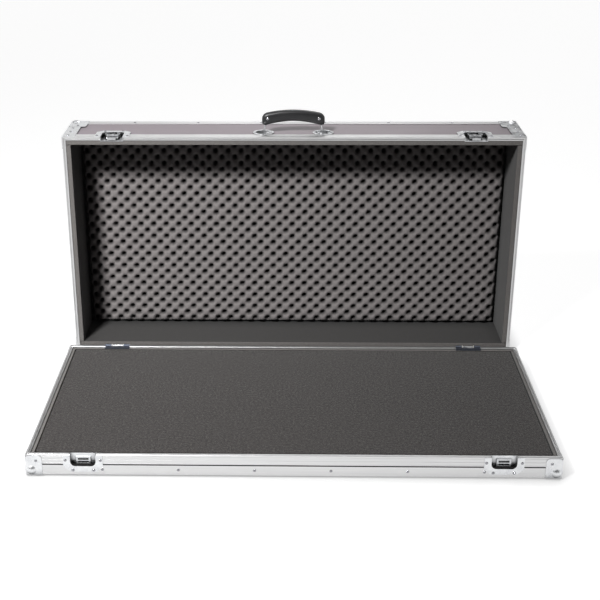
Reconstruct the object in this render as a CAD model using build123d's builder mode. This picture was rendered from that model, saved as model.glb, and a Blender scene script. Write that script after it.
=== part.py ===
"""Flight case for guitar pedals: a shallow carpeted base and a deep foam-lined lift-off lid.

Millimetres, +Z up.  The case is drawn as it is laid out for use: the base lies flat, and the lid,
lifted off its hinge pins, stands on its rear wall behind it with the open side to the front.  The
origin is on the floor, in the middle of the two as they stand.

Base and lid are both trays.  Each tray has a frame with its origin in the middle of its rim
plane: X along the width, Y from the latch side to the hinge side, +Z out of the open side.
"""
import os
from math import atan2, cos, degrees, pi, radians, sin

from build123d import *

os.makedirs("parts", exist_ok=True)

# ---------------------------------------------------------------- driving dimensions
WIDTH = 1100.0              # over the extrusions, along X
DEPTH = 550.0               # over the extrusions, along Y
BASE_HEIGHT = 45.5          # rim plane to the underside of the base
LID_HEIGHT = 158.5          # rim plane to the top of the lid
PLY = 6.5                   # laminated plywood panels
SKIN = 1.5                  # wall of the aluminium extrusions
SEAM_GAP = 0.4              # rim to rim when closed
PLAY = 0.3                  # running clearance between moving pieces
FIT = 0.2                   # clearance round pieces that are let into a panel

RIM_HEAD = 6.0              # solid head of the rim extrusion over the panel edge
BASE_RIM_LEG = 21.5         # height of the rim extrusions
LID_RIM_LEG = 28.0
BASE_WALL_SHOWN = 1.5       # laminate that shows between the two extrusions of the base
LID_ANGLE_LEG = 25.0        # legs of the lid's edge angles
REED_WIDTH = 1.6            # long grooves in the outer face of a rim
REED_DEPTH = 0.5
REEDS = 3
TONGUE_HALF = 1.2           # tongue on the base rim, half its width at the foot
TONGUE_TAPER = 0.5
TONGUE_HEIGHT = 2.6
TONGUE_PLAY = 0.5

BALL_RADIUS = 15.0          # chromed ball corners
BALL_OUT = 5.0              # how far a ball stands out of the faces
BALL_BOX = 14.0             # the edge angles are cut back this far for a ball
PLATE = 1.2                 # pressed plates on the outside
BASE_FOOT_WIDTH = 33.0      # feet of the ball corners
LID_FOOT_WIDTH = 42.0
LID_FOOT_HEIGHT = 60.0
FOOT_ROUND = 8.0
RIM_SETBACK = 1.5           # outside plates stop this far from the rim plane
BRACE_WIDTH = 30.0          # rim corner braces of the lid

LID_STANDOFF = 84.0         # base rear face to the rim plane of the standing lid

CARPET = 4.0
CARPET_DROP = 3.0           # rim plane to the carpet
DECK = 9.0
DECK_PLAY = 2.5             # round the deck
BATTEN_WIDTH = 30.0
BATTENS = 4
BASE_LINING = 7.0           # foam strips round the deck
LID_LINING = 11.0           # foam on the lid walls
LID_LINING_DROP = 1.0       # rim plane to the edge of the lining; flush with the carpet below
EGG_FOAM = 28.0             # egg-crate foam on the lid panel, to the tips
LINING_SEAT = 0.3           # soft pieces lie this far off their neighbours

LATCH_INSET = 118.0         # side face to latch centre
DISH_WIDTH = 55.0           # recess of a latch dish
DISH_DEPTH = 10.0
DISH_WALL = 1.2
BASE_DISH_LENGTH = 27.0
LID_DISH_LENGTH = 46.0
DISH_ROUND = 12.0
FLANGE_WIDTH = 82.0
FLANGE_MARGIN = 12.0        # flange past the closed end of the recess
FLANGE_TIP = 52.0           # width of the flange at its end

CAM_CENTRE = 26.0           # rim plane to the cam spindle
CAM_MIN = 3.2               # heart cam, smallest and largest radius
CAM_STROKE = 10.0
CAM_PLATE = 2.4
CAM_STEPS = 10
SPINDLE_RADIUS = 2.8
YOKE_BAR = 2.5              # bars of the yoke
YOKE_CLEVIS = 28.0          # over the lugs that hold the hook's pin
JAW_KNUCKLE = 2.0           # knuckle and pin of the hook
JAW_PIN = 1.0
NOSE_LENGTH = 2.0           # follower noses of the yoke
NOSE_HALF = 3.0
HOOK_WIDTH = 20.0
HOOK_PLATE = 2.0            # outer run of the hook
HOOK_REACH = 3.4            # hook tip past the rim plane when drawn in
LIP = 2.4                   # thickness of the hook's lip
LIP_DEPTH = 2.0
HOOK_OUTER = 2.6            # outer run of the hook, below the outer face
CRANK_AT = 11.5             # rim plane to the crank of the hook

WING_PLATE = 1.6
WING_SPAN = 17.5            # spindle to wing tip
WING_HALF = 9.5             # half width of a wing
WING_EDGE = 5.4             # height of the turned-up edge of a wing
WING_EDGE_RUN = 8.0         # how far the turned-up edge runs back from the tip
WING_ROUND = 6.0
WING_UNDER = 3.3            # underside of the wings, below the outer face
WING_KNUCKLE = 1.4
WING_PIN = 0.8
WING_PIN_AT = 5.0           # spindle to wing pin
LUG = 2.0                   # lugs that hold the wing pins

KEEPER_WIDTH = 30.0
KEEPER_SLOT_WIDTH = 22.0
KEEPER_START = 6.0          # rim plane to the keeper
KEEPER_SLOTS = ((9.2, 14.2), (16.6, 19.8))  # the lip of the hook drops into the first
KEEPER_END = 24.0
KEEPER_RISE = 3.4           # face of the keeper, above the dish floor
KEEPER_PLATE = 1.4

HINGE_WIDTH = 60.0
HINGE_OFFSET = 1.1          # hinge axis behind the rear faces
KNUCKLE_RADIUS = 3.8
KNUCKLE_WIDTH = 26.0        # knuckle of the lid leaf
PIN_RADIUS = 2.0
PIN_FLATS = 2.6             # across the flats that let the lid off
PIN_PLAY = 0.1
MOUTH_PLAY = 0.2
WASHER = 1.0
HINGE_NOTCH = 4.3           # notch in both rear rims
LEAF = 1.5                  # plate of the leaves
BASE_LEAF_DROP = 18.5
LID_LEAF_DROP = 26.0
SADDLE_REACH = 13.0         # base leaf over the rim, from the rear face
LEAF_CUT = 8.5              # slot in the base leaf under the lid's knuckle

HANDLE_SPREAD = 143.0       # between the handle cups
HANDLE_INSET = 45.0         # rim plane to the cups
CUP_RADIUS = 25.0           # flange of a cup
CUP_MOUTH = 19.0
CUP_DEPTH = 12.0
CUP_ROUND = 4.0
HANDLE_AXIS = 2.0           # swing axis below the outer face
HANDLE_BAR = 1.8            # radius of the steel wire
HANDLE_BEND = 6.0
WIRE_STUB = 14.0            # wire from the middle of a cup to its end in the lug
WIRE_LUG = 5.0              # width of the bearing lugs
WIRE_AT_GRIP = 63.0         # middle of the grip to where a wire enters it
WIRE_INTO_GRIP = 18.0
GRIP_LENGTH = 150.0
GRIP_UNDER_END = 15.0       # outer face to the underside and top of the grip
GRIP_UNDER_MID = 28.5
GRIP_TOP_END = 46.5
GRIP_TOP_MID = 56.0
GRIP_WIDE = 19.0
GRIP_ROUND = 6.0
GRIP_END_ROUND = 13.0       # ends of the grip, seen from the front

# ---------------------------------------------------------------- derived places
RIM = SKIN + PLY                          # outer face to the inner face of the walls
BASE_RIM_Z = BALL_OUT + BASE_HEIGHT
BASE_ANGLE_LEG = BASE_HEIGHT - BASE_RIM_LEG - BASE_WALL_SHOWN
LATCH_X = WIDTH / 2 - LATCH_INSET
BASE_Y = -(LID_STANDOFF + LID_HEIGHT) / 2  # middle of the base
AXIS_Y = BASE_Y + DEPTH / 2 + HINGE_OFFSET  # hinge axis
AXIS_Z = BASE_RIM_Z + SEAM_GAP / 2
STAND_Y = BASE_Y + DEPTH / 2 + LID_STANDOFF  # rim plane of the standing lid
STAND_Z = BALL_OUT + DEPTH / 2            # middle of the standing lid
SEAT_Y = AXIS_Y + SEAM_GAP / 2            # the same two for the lid hung open on its pins
SEAT_Z = AXIS_Z + HINGE_OFFSET + DEPTH / 2
LIFT_ANGLE = degrees(atan2(SEAT_Z - STAND_Z, STAND_Y - SEAT_Y))
DISH_FLOOR = DISH_DEPTH - DISH_WALL       # outer face to the floor of a dish
CAM_TOP = DISH_FLOOR - PLAY - CAM_PLATE   # outer face to the upper side of the cam
CAM_MAX = CAM_MIN + CAM_STROKE
BALL_INSET = BALL_RADIUS - BALL_OUT       # faces to the middle of a ball
EAR_IN = KNUCKLE_WIDTH / 2 + PLAY + WASHER + PLAY

BASE = Plane(origin=(0, BASE_Y, BASE_RIM_Z), x_dir=(1, 0, 0), z_dir=(0, 0, 1))
LID = Plane(origin=(0, STAND_Y, STAND_Z), x_dir=(-1, 0, 0), z_dir=(0, -1, 0))
HEIGHT = {BASE: BASE_HEIGHT, LID: LID_HEIGHT}
SIDES = ("front", "right", "rear", "left")
OUTWARD = {"front": (0, -1, 0), "right": (1, 0, 0), "rear": (0, 1, 0), "left": (-1, 0, 0)}


# ---------------------------------------------------------------- frames and helpers
def turned(tray, direction):
    """A direction of the tray frame as a world vector."""
    return tray.from_local_coords(Vector(*direction)) - tray.from_local_coords(Vector(0, 0, 0))


def placed(tray, point, x_dir, z_dir):
    """A plane given in the tray frame."""
    origin = tray.from_local_coords(Vector(*point))
    return Plane(origin=origin, x_dir=turned(tray, x_dir), z_dir=turned(tray, z_dir))


def side_name(tray, side):
    """Name of a side as seen from the latch side of the base; the lid faces the other way."""
    swapped = {"left": "right", "right": "left"}
    return swapped.get(side, side) if tray is LID else side


def half_run(side):
    """Half the length of a side, over the extrusions."""
    return WIDTH / 2 if side in ("front", "rear") else DEPTH / 2


def face_of(tray, side, along=0.0, out=0.0):
    """Plane on the outer face of a side: X along it, +Y to the rim (rim at 0), +Z outward."""
    d = Vector(*OUTWARD[side])
    reach = (DEPTH if side in ("front", "rear") else WIDTH) / 2 + out
    x_dir = Vector(0, 0, 1).cross(d)
    origin = d * reach + x_dir * along
    return placed(tray, tuple(origin), tuple(x_dir), tuple(d))


def section_of(tray, side, along=0.0):
    """Plane across a side: +X outward (outer face at 0), +Y to the rim, +Z along the side."""
    d = Vector(*OUTWARD[side])
    reach = (DEPTH if side in ("front", "rear") else WIDTH) / 2
    run = Vector(0, 0, 1).cross(d)
    origin = d * reach + run * along
    return placed(tray, tuple(origin), tuple(d), tuple(d.cross(Vector(0, 0, 1))))


def level_of(tray, side, along, below):
    """Plane parallel to the rim plane: +X along the side, +Y outward (face at 0), +Z inward."""
    d = Vector(*OUTWARD[side])
    reach = (DEPTH if side in ("front", "rear") else WIDTH) / 2
    run = Vector(0, 0, 1).cross(d)
    origin = d * reach + run * along - Vector(0, 0, below)
    return placed(tray, tuple(origin), tuple(run), (0, 0, -1))


def mitre(tray, side):
    """Cut both ends of the side in the current part at 45 degrees."""
    d = Vector(*OUTWARD[side])
    run = Vector(0, 0, 1).cross(d)
    reach = (DEPTH if side in ("front", "rear") else WIDTH) / 2
    for end in (1, -1):
        corner = d * reach + run * end * half_run(side)
        normal = run * end - d
        cut = placed(tray, tuple(corner), (0, 0, 1), tuple(normal.normalized()))
        split(bisect_by=cut, keep=Keep.BOTTOM)


def corners(tray):
    """The four outer corners at the closed side of a tray, with the inward signs."""
    for sx in (1, -1):
        for sy in (1, -1):
            yield sx, sy, (sx * WIDTH / 2, sy * DEPTH / 2, -HEIGHT[tray])


def keep_part(part, name):
    """Label a finished part and write it."""
    part.label = name
    export_step(part, f"parts/{name}.step")


# ---------------------------------------------------------------- panels
def make_panels(tray, prefix, closing):
    """Closing panel and four walls; front and rear walls run over the ends of the side walls."""
    height = HEIGHT[tray]
    with BuildPart() as panel:
        with BuildSketch(tray.offset(-height + SKIN)):
            Rectangle(WIDTH - 2 * SKIN, DEPTH - 2 * SKIN)
        extrude(amount=PLY)
    keep_part(panel.part, f"{prefix}_{closing}")

    wall_top = -RIM_HEAD
    wall_foot = -height + RIM
    for side in SIDES:
        ends = SKIN if side in ("front", "rear") else RIM
        length = 2 * (half_run(side) - ends)
        with BuildPart() as wall:
            with BuildSketch(face_of(tray, side, out=-SKIN)):
                with Locations((0, (wall_top + wall_foot) / 2)):
                    Rectangle(length, wall_top - wall_foot)
            extrude(amount=-PLY)
            if side == "front":
                dish_length = LID_DISH_LENGTH if tray is LID else BASE_DISH_LENGTH
                with BuildSketch(face_of(tray, side)):
                    with Locations(*[(x, -dish_length / 2) for x in (-LATCH_X, LATCH_X)]):
                        Rectangle(DISH_WIDTH + 2 * FIT, dish_length + 2 * FIT)
                extrude(amount=-RIM, mode=Mode.SUBTRACT)
                if tray is LID:
                    with BuildSketch(face_of(tray, side)):
                        with Locations(*[(x, -HANDLE_INSET) for x in cup_places()]):
                            Circle(CUP_MOUTH + PLATE + FIT)
                    extrude(amount=-RIM, mode=Mode.SUBTRACT)
        keep_part(wall.part, f"{prefix}_{side_name(tray, side)}_wall")


def cup_places():
    return (-HANDLE_SPREAD / 2, HANDLE_SPREAD / 2)


# ---------------------------------------------------------------- extrusions
def make_rims(tray, prefix):
    """Rim extrusions: reeded outer leg, solid head, tongue on the base and groove on the lid."""
    leg = LID_RIM_LEG if tray is LID else BASE_RIM_LEG
    middle = -RIM / 2
    for side in SIDES:
        run = half_run(side)
        with BuildPart() as rim:
            with BuildSketch(section_of(tray, side)):
                with BuildLine():
                    Polyline((0, 0), (-RIM, 0), (-RIM, -RIM_HEAD), (-SKIN, -RIM_HEAD),
                             (-SKIN, -leg), (0, -leg), close=True)
                make_face()
                pitch = (leg - RIM_HEAD) / (REEDS - 1)
                with Locations(*[(0, -RIM_HEAD / 2 - i * pitch) for i in range(REEDS)]):
                    Rectangle(2 * REED_DEPTH, REED_WIDTH, mode=Mode.SUBTRACT)
                if tray is LID:
                    wide = TONGUE_HALF + TONGUE_PLAY
                    deep = TONGUE_HEIGHT + TONGUE_PLAY
                    with BuildLine():
                        Polyline((middle - wide, 0), (middle + wide, 0),
                                 (middle + wide - TONGUE_TAPER, -deep),
                                 (middle - wide + TONGUE_TAPER, -deep), close=True)
                    make_face(mode=Mode.SUBTRACT)
                else:
                    with BuildLine():
                        Polyline((middle - TONGUE_HALF, 0), (middle + TONGUE_HALF, 0),
                                 (middle + TONGUE_HALF - TONGUE_TAPER, TONGUE_HEIGHT),
                                 (middle - TONGUE_HALF + TONGUE_TAPER, TONGUE_HEIGHT), close=True)
                    make_face()
            extrude(amount=run, both=True)
            mitre(tray, side)
            if side == "front":
                with BuildSketch(face_of(tray, side)):
                    with Locations((-LATCH_X, 0), (LATCH_X, 0)):
                        Rectangle(DISH_WIDTH + 2 * FIT, 2 * leg + 2 * FIT)
                    if tray is LID:
                        with Locations(*[(x, -HANDLE_INSET) for x in cup_places()]):
                            Circle(CUP_MOUTH + PLATE + FIT)
                extrude(amount=-RIM, mode=Mode.SUBTRACT)
            if side == "rear":
                with BuildSketch(face_of(tray, side)):
                    with Locations((-LATCH_X, 0), (LATCH_X, 0)):
                        Rectangle(HINGE_WIDTH + 2 * PLAY, 2 * HINGE_NOTCH)
                extrude(amount=-RIM, mode=Mode.SUBTRACT)
        keep_part(rim.part, f"{prefix}_{side_name(tray, side)}_rim")


def make_edge_angles(tray, prefix):
    """Angle extrusions round the closing panel, mitred, and cut back at the ball corners."""
    leg = LID_ANGLE_LEG if tray is LID else BASE_ANGLE_LEG
    height = HEIGHT[tray]
    for side in SIDES:
        with BuildPart() as angle:
            with BuildSketch(section_of(tray, side)):
                with BuildLine():
                    Polyline((0, -height), (0, -height + leg), (-SKIN, -height + leg),
                             (-SKIN, -height + SKIN), (-leg, -height + SKIN), (-leg, -height),
                             close=True)
                make_face()
            extrude(amount=half_run(side), both=True)
            mitre(tray, side)
            for sx, sy, corner in corners(tray):
                with BuildSketch(tray.offset(-height + BALL_BOX)):
                    with Locations((corner[0], corner[1])):
                        Rectangle(2 * BALL_BOX, 2 * BALL_BOX)
                extrude(amount=-2 * BALL_BOX, mode=Mode.SUBTRACT)
            if tray is BASE and side == "front":
                with BuildSketch(face_of(tray, side)):
                    with Locations((-LATCH_X, 0), (LATCH_X, 0)):
                        Rectangle(DISH_WIDTH + 2 * FIT, 2 * (BASE_DISH_LENGTH + FIT))
                extrude(amount=-SKIN, mode=Mode.SUBTRACT)
        keep_part(angle.part, f"{prefix}_{side_name(tray, side)}_edge_angle")


def make_corner_angles():
    """Upright angles on the four corners of the lid, between the rim and the edge angles."""
    top = -LID_RIM_LEG
    foot = -LID_HEIGHT + LID_ANGLE_LEG
    with BuildPart() as uprights:
        with BuildSketch(LID.offset(foot)):
            Rectangle(WIDTH, DEPTH)
            Rectangle(WIDTH - 2 * SKIN, DEPTH - 2 * SKIN, mode=Mode.SUBTRACT)
            Rectangle(WIDTH - 2 * LID_ANGLE_LEG, DEPTH, mode=Mode.SUBTRACT)
            Rectangle(WIDTH, DEPTH - 2 * LID_ANGLE_LEG, mode=Mode.SUBTRACT)
        extrude(amount=top - foot)
    keep_part(uprights.part, "lid_corner_angles")


def make_corner_braces():
    """Pressed angles over the mitred corners of the lid's rim."""
    foot = -LID_HEIGHT + LID_FOOT_HEIGHT + RIM_SETBACK
    with BuildPart() as braces:
        with BuildSketch(LID.offset(foot)):
            Rectangle(WIDTH + 2 * PLATE, DEPTH + 2 * PLATE)
            Rectangle(WIDTH, DEPTH, mode=Mode.SUBTRACT)
            Rectangle(WIDTH - 2 * BRACE_WIDTH, 2 * DEPTH, mode=Mode.SUBTRACT)
            Rectangle(2 * WIDTH, DEPTH - 2 * BRACE_WIDTH, mode=Mode.SUBTRACT)
        extrude(amount=-RIM_SETBACK - foot)
        edges = braces.edges().filter_by(Axis((0, 0, 0), turned(LID, (0, 0, 1))))
        outer = [e for e in edges if is_outer_corner(e.center())]
        fillet(outer, PLATE * 0.8)
    keep_part(braces.part, "lid_corner_braces")


def is_outer_corner(point):
    """True on the outermost upright edges of the lid."""
    local = LID.to_local_coords(point)
    return abs(local.X) > WIDTH / 2 + PLATE / 2 and abs(local.Y) > DEPTH / 2 + PLATE / 2


def corner_fitting(wide, tall):
    """One ball corner with its point at the origin and the case along +X, +Y and +Z."""
    reach = wide + tall
    with BuildPart() as fitting:
        with Locations((BALL_INSET, BALL_INSET, BALL_INSET)):
            Sphere(BALL_RADIUS)
        with Locations((SKIN, SKIN, SKIN)):
            Box(reach, reach, reach, align=(Align.MIN,) * 3, mode=Mode.SUBTRACT)
        for start in ((BALL_BOX, 0, 0), (0, BALL_BOX, 0), (0, 0, BALL_BOX)):
            with Locations(start):
                Box(reach, reach, reach, align=(Align.MIN,) * 3, mode=Mode.SUBTRACT)
        for plane, run, rise in ((Plane.XY, wide, wide), (Plane.YZ, wide, tall),
                                 (Plane.ZX, tall, wide)):
            with BuildSketch(plane):
                with BuildLine():
                    FilletPolyline((-PLATE, -PLATE), (run, -PLATE), (run, rise), (-PLATE, rise),
                                   radius=FOOT_ROUND)
                    Line((-PLATE, rise), (-PLATE, -PLATE))
                make_face()
            extrude(amount=-PLATE)
    return fitting.part


def make_ball_corners(tray, prefix):
    """Four ball corners: a ball that wraps the corner and three rounded feet on the faces."""
    height = HEIGHT[tray]
    if tray is LID:
        fitting = corner_fitting(LID_FOOT_WIDTH, LID_FOOT_HEIGHT)
    else:
        fitting = corner_fitting(BASE_FOOT_WIDTH, height - RIM_SETBACK)
    at = placed(tray, (WIDTH / 2, DEPTH / 2, -height), (-1, 0, 0), (0, 0, 1))
    with BuildPart() as balls:
        add(fitting.moved(at.location))
        for across in ((0, 1, 0), (1, 0, 0)):
            mirror(about=Plane(origin=tray.origin, z_dir=turned(tray, across)))
    keep_part(balls.part, f"{prefix}_ball_corners")


# ---------------------------------------------------------------- deck and soft lining
def make_deck():
    """Carpeted deck board on battens, and the foam strips round it."""
    wide = WIDTH - 2 * (RIM + BASE_LINING + DECK_PLAY)
    deep = DEPTH - 2 * (RIM + BASE_LINING + DECK_PLAY)
    deck_top = -CARPET_DROP - CARPET
    with BuildPart() as deck:
        with BuildSketch(BASE.offset(deck_top)):
            Rectangle(wide, deep)
        extrude(amount=-DECK)
    keep_part(deck.part, "pedal_deck")

    with BuildPart() as carpet:
        with BuildSketch(BASE.offset(-CARPET_DROP)):
            Rectangle(wide, deep)
        extrude(amount=-CARPET)
    keep_part(carpet.part, "deck_carpet")

    with BuildPart() as battens:
        with BuildSketch(BASE.offset(-BASE_HEIGHT + RIM)):
            pitch = (wide - BATTEN_WIDTH) / (BATTENS - 1)
            with GridLocations(pitch, 0, BATTENS, 1):
                Rectangle(BATTEN_WIDTH, deep)
        extrude(amount=BASE_HEIGHT - RIM - CARPET_DROP - CARPET - DECK)
    keep_part(battens.part, "deck_battens")


def make_lining(tray, prefix, thick):
    """Foam strips on the four walls, with pockets behind the fittings let into the walls."""
    foot = -HEIGHT[tray] + RIM + LINING_SEAT
    top = -LID_LINING_DROP if tray is LID else -CARPET_DROP
    pocket = DISH_DEPTH - RIM + 2 * LINING_SEAT
    with BuildPart() as lining:
        for side in SIDES:
            ends = RIM + LINING_SEAT
            if side in ("left", "right"):
                ends += thick + LINING_SEAT
            with BuildSketch(face_of(tray, side, out=-RIM - LINING_SEAT)):
                with Locations((0, (top + foot) / 2)):
                    Rectangle(2 * (half_run(side) - ends), top - foot)
            extrude(amount=-thick)
        dish_length = LID_DISH_LENGTH if tray is LID else BASE_DISH_LENGTH
        with BuildSketch(face_of(tray, "front", out=-RIM)):
            with Locations(*[(x, -dish_length / 2) for x in (-LATCH_X, LATCH_X)]):
                Rectangle(DISH_WIDTH + 2 * LINING_SEAT, dish_length + 2 * LINING_SEAT)
        extrude(amount=-pocket, mode=Mode.SUBTRACT)
        if tray is LID:
            with BuildSketch(face_of(tray, "front", out=-RIM)):
                with Locations(*[(x, -HANDLE_INSET) for x in cup_places()]):
                    Circle(CUP_MOUTH + PLATE + 2 * LINING_SEAT)
            extrude(amount=-(CUP_DEPTH - RIM + 2 * LINING_SEAT), mode=Mode.SUBTRACT)
        else:
            with BuildSketch(face_of(tray, "rear", out=-RIM)):
                with Locations((-LATCH_X, 0), (LATCH_X, 0)):
                    Rectangle(HINGE_WIDTH + 2 * LINING_SEAT, 2 * (HINGE_NOTCH + LINING_SEAT))
            extrude(amount=-(SADDLE_REACH - RIM + LINING_SEAT), mode=Mode.SUBTRACT)
    keep_part(lining.part, f"{prefix}_lining_foam")


def make_egg_crate():
    """Block of the egg-crate foam on the inside of the lid's top, up to the tips."""
    margin = RIM + LID_LINING + 2 * LINING_SEAT
    with BuildPart() as foam:
        with BuildSketch(LID.offset(-LID_HEIGHT + RIM + LINING_SEAT)):
            Rectangle(WIDTH - 2 * margin, DEPTH - 2 * margin)
        extrude(amount=EGG_FOAM)
    keep_part(foam.part, "egg_crate_foam")


# ---------------------------------------------------------------- recessed latches
def recess_outline(width, length, corner):
    """Outline of a recess open at the rim, with two rounded corners at its closed end."""
    half = width / 2
    FilletPolyline((-half, 0), (-half, -length), (half, -length), (half, 0), radius=corner)
    Line((half, 0), (-half, 0))


def make_dish(tray, name, along, length):
    """Pressed dish with a tapered flange, open at the rim."""
    face = face_of(tray, "front", along)
    half = FLANGE_WIDTH / 2
    tip = FLANGE_TIP / 2
    with BuildPart() as dish:
        with BuildSketch(face):
            with BuildLine():
                Polyline((-half, 0), (-half, -length), (-tip, -length - FLANGE_MARGIN),
                         (tip, -length - FLANGE_MARGIN), (half, -length), (half, 0), close=True)
            make_face()
        extrude(amount=PLATE)
        with BuildSketch(face):
            with BuildLine():
                recess_outline(DISH_WIDTH, length, DISH_ROUND)
            make_face()
        extrude(amount=-DISH_DEPTH)
        with BuildSketch(face.offset(PLATE)):
            with BuildLine():
                recess_outline(DISH_WIDTH - 2 * DISH_WALL, length - DISH_WALL, DISH_ROUND - DISH_WALL)
            make_face()
        extrude(amount=-PLATE - DISH_FLOOR, mode=Mode.SUBTRACT)
    keep_part(dish.part, name)


def make_keepers():
    """Keepers on the floors of the base dishes: bridges with slots for the lip of the hook."""
    floor = -DISH_FLOOR
    top = floor + KEEPER_RISE
    with BuildPart() as keepers:
        for along in (-LATCH_X, LATCH_X):
            with BuildSketch(section_of(BASE, "front", along)):
                with BuildLine():
                    Polyline((floor, -KEEPER_START), (top, -KEEPER_START - KEEPER_PLATE),
                             (top, -KEEPER_END + KEEPER_PLATE), (floor, -KEEPER_END),
                             (floor, -KEEPER_END + KEEPER_PLATE),
                             (top - KEEPER_PLATE, -KEEPER_END + 2 * KEEPER_PLATE),
                             (top - KEEPER_PLATE, -KEEPER_START - 2 * KEEPER_PLATE),
                             (floor, -KEEPER_START - KEEPER_PLATE), close=True)
                make_face()
            extrude(amount=KEEPER_WIDTH / 2, both=True)
            with BuildSketch(face_of(BASE, "front", along, out=top)):
                for start, end in KEEPER_SLOTS:
                    with Locations((0, -(start + end) / 2)):
                        Rectangle(KEEPER_SLOT_WIDTH, end - start)
            extrude(amount=-KEEPER_PLATE, mode=Mode.SUBTRACT)
    keep_part(keepers.part, "latch_keepers")


def heart_points():
    """Rim of the heart cam, from its notch at the rim side round one half to its lobe."""
    for step in range(CAM_STEPS + 1):
        angle = pi * step / CAM_STEPS
        radius = CAM_MIN + CAM_STROKE * step / CAM_STEPS
        yield radius * sin(angle), radius * cos(angle) - CAM_CENTRE


def make_cam(name, along):
    """Heart cam with its spindle and the block that carries the wings.

    The radius grows in proportion to the angle, so the width across the spindle is the same in
    every direction and both noses of the yoke stay on the cam through the half turn.
    """
    face = face_of(LID, "front", along)
    block_under = WING_UNDER + 2 * PLAY
    block_top = -wing_axis_out() - 2 * WING_PIN
    lug_in = WING_HALF - LUG
    with BuildPart() as cam:
        with BuildSketch(face.offset(-CAM_TOP)):
            right = list(heart_points())
            left = [(-x, y) for x, y in right]
            with BuildLine():
                Spline(*right)
                Spline(*left)
            make_face()
        extrude(amount=-CAM_PLATE)
        with BuildSketch(face.offset(-CAM_TOP)):
            with Locations((0, -CAM_CENTRE)):
                Circle(SPINDLE_RADIUS)
        extrude(amount=CAM_TOP - block_under)
        with BuildSketch(face.offset(-block_under)):
            with Locations((0, -CAM_CENTRE)):
                Rectangle(2 * (WING_PIN_AT - WING_KNUCKLE - PLAY), 2 * WING_HALF)
        extrude(amount=block_under - block_top)
        for below in (CAM_CENTRE - WING_HALF, CAM_CENTRE + lug_in):
            with BuildSketch(level_of(LID, "front", along, below)):
                with Locations((0, wing_axis_out())):
                    SlotCenterToCenter(2 * WING_PIN_AT, 4 * WING_PIN)
            extrude(amount=LUG)
        with BuildSketch(level_of(LID, "front", along, CAM_CENTRE - WING_HALF)):
            with Locations((WING_PIN_AT, wing_axis_out()), (-WING_PIN_AT, wing_axis_out())):
                Circle(WING_PIN + PIN_PLAY)
        extrude(amount=2 * WING_HALF, mode=Mode.SUBTRACT)
    keep_part(cam.part, name)


def wing_axis_out():
    """Height of the wing pins over the outer face; negative is below it."""
    return -WING_UNDER + WING_PLATE / 2


def make_wing(name, along, hand):
    """Butterfly wing: knuckle with pin ends, plate, and a turned-up edge to grip it by."""
    face = face_of(LID, "front", along)
    knuckle = WING_HALF - LUG - PLAY
    axis_out = wing_axis_out()
    with BuildPart() as wing:
        with BuildSketch(level_of(LID, "front", along, CAM_CENTRE - knuckle)):
            with Locations((hand * WING_PIN_AT, axis_out)):
                Circle(WING_KNUCKLE)
        extrude(amount=2 * knuckle)
        with BuildSketch(level_of(LID, "front", along, CAM_CENTRE - WING_HALF)):
            with Locations((hand * WING_PIN_AT, axis_out)):
                Circle(WING_PIN)
        extrude(amount=2 * WING_HALF)
        plate_from = WING_PIN_AT + 2 * WING_PIN + PLAY
        with BuildSketch(face.offset(-WING_UNDER)):
            middle = (WING_PIN_AT + plate_from) / 2 + PLAY
            with Locations((hand * middle, -CAM_CENTRE)):
                Rectangle(plate_from - WING_PIN_AT + 2 * PLAY, 2 * knuckle)
            with BuildLine():
                wing_outline(hand, plate_from)
            make_face()
        extrude(amount=WING_PLATE)
        with BuildSketch(face.offset(-WING_UNDER)):
            with BuildLine():
                wing_outline(hand, plate_from)
            make_face()
            offset(amount=-WING_PLATE, mode=Mode.SUBTRACT)
            with Locations((hand * plate_from, -CAM_CENTRE)):
                Rectangle(2 * (WING_SPAN - plate_from - WING_EDGE_RUN), 3 * WING_HALF,
                          mode=Mode.SUBTRACT)
        extrude(amount=WING_EDGE)
    keep_part(wing.part, name)


def wing_outline(hand, plate_from):
    """Outline of the flat part of a wing, with a rounded outer end."""
    inner = hand * plate_from
    outer = hand * WING_SPAN
    low = -CAM_CENTRE - WING_HALF
    high = -CAM_CENTRE + WING_HALF
    FilletPolyline((inner, low), (outer, low), (outer, high), (inner, high), radius=WING_ROUND)
    Line((inner, high), (inner, low))


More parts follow.
